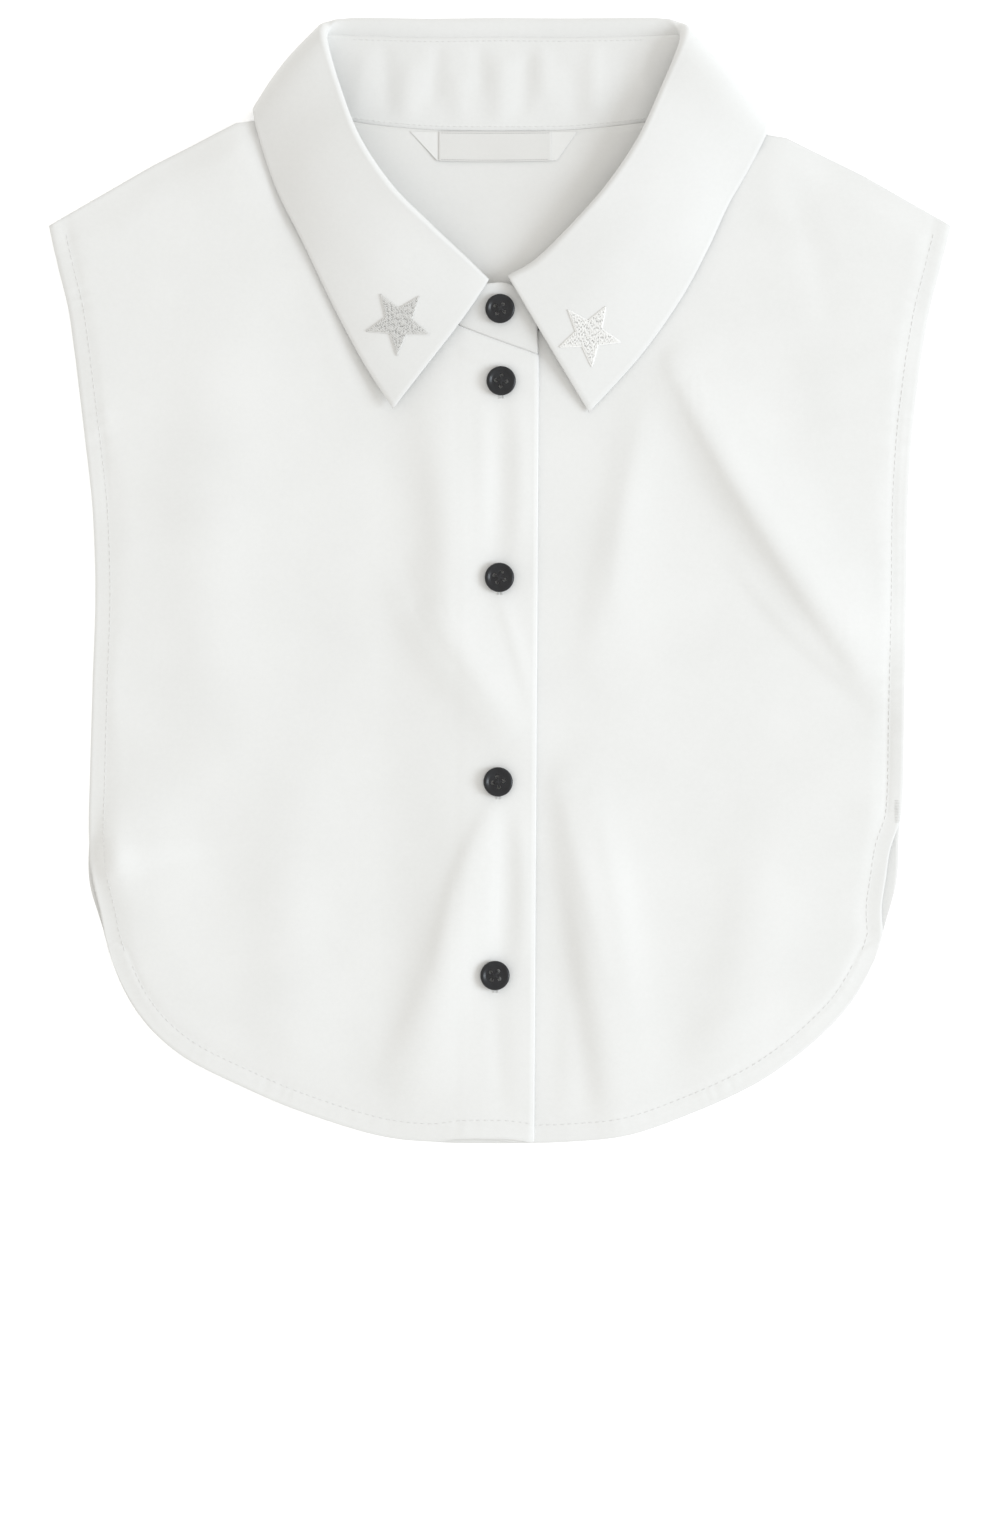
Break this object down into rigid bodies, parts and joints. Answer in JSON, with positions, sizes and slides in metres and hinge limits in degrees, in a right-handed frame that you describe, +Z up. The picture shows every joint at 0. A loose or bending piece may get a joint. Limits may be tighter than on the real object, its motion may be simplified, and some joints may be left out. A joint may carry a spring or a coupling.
{
  "type": "dickey collar",
  "caption": "False shirt front laid flat: pointed collar on a stand, buttoned placket, sleeveless body with a rounded hem, open at the sides",
  "frame": {"origin": "centre of the bounding box, on the surface that the garment lies on", "axes": "+X to the viewer's right across the front, +Y from the hem to the collar, +Z up from the surface towards the viewer"},
  "size_m": [0.3244, 0.4049, 0.0164],
  "materials": {
    "white_poplin": "matt white cotton poplin, fine plain weave",
    "collar_poplin": "matt white cotton poplin, interlined",
    "star_thread": "white satin-stitch embroidery",
    "label_satin": "off-white woven ribbon, blank",
    "white_elastic": "white ribbed elastic",
    "dark_button": "near-black polyester, soft gloss"
  },
  "bodies": {
    "root": {"back_panel": "white_poplin", "front_over": "white_poplin", "front_under": "white_poplin", "collar_stand": "collar_poplin", "collar_fall": "collar_poplin", "star_left": "star_thread", "star_right": "star_thread", "neck_label": "label_satin", "side_band_left": "white_elastic", "side_band_right": "white_elastic", "button_1": "dark_button", "button_2": "dark_button", "button_3": "dark_button", "button_4": "dark_button", "button_5": "dark_button"}
  },
  "joints": []
}
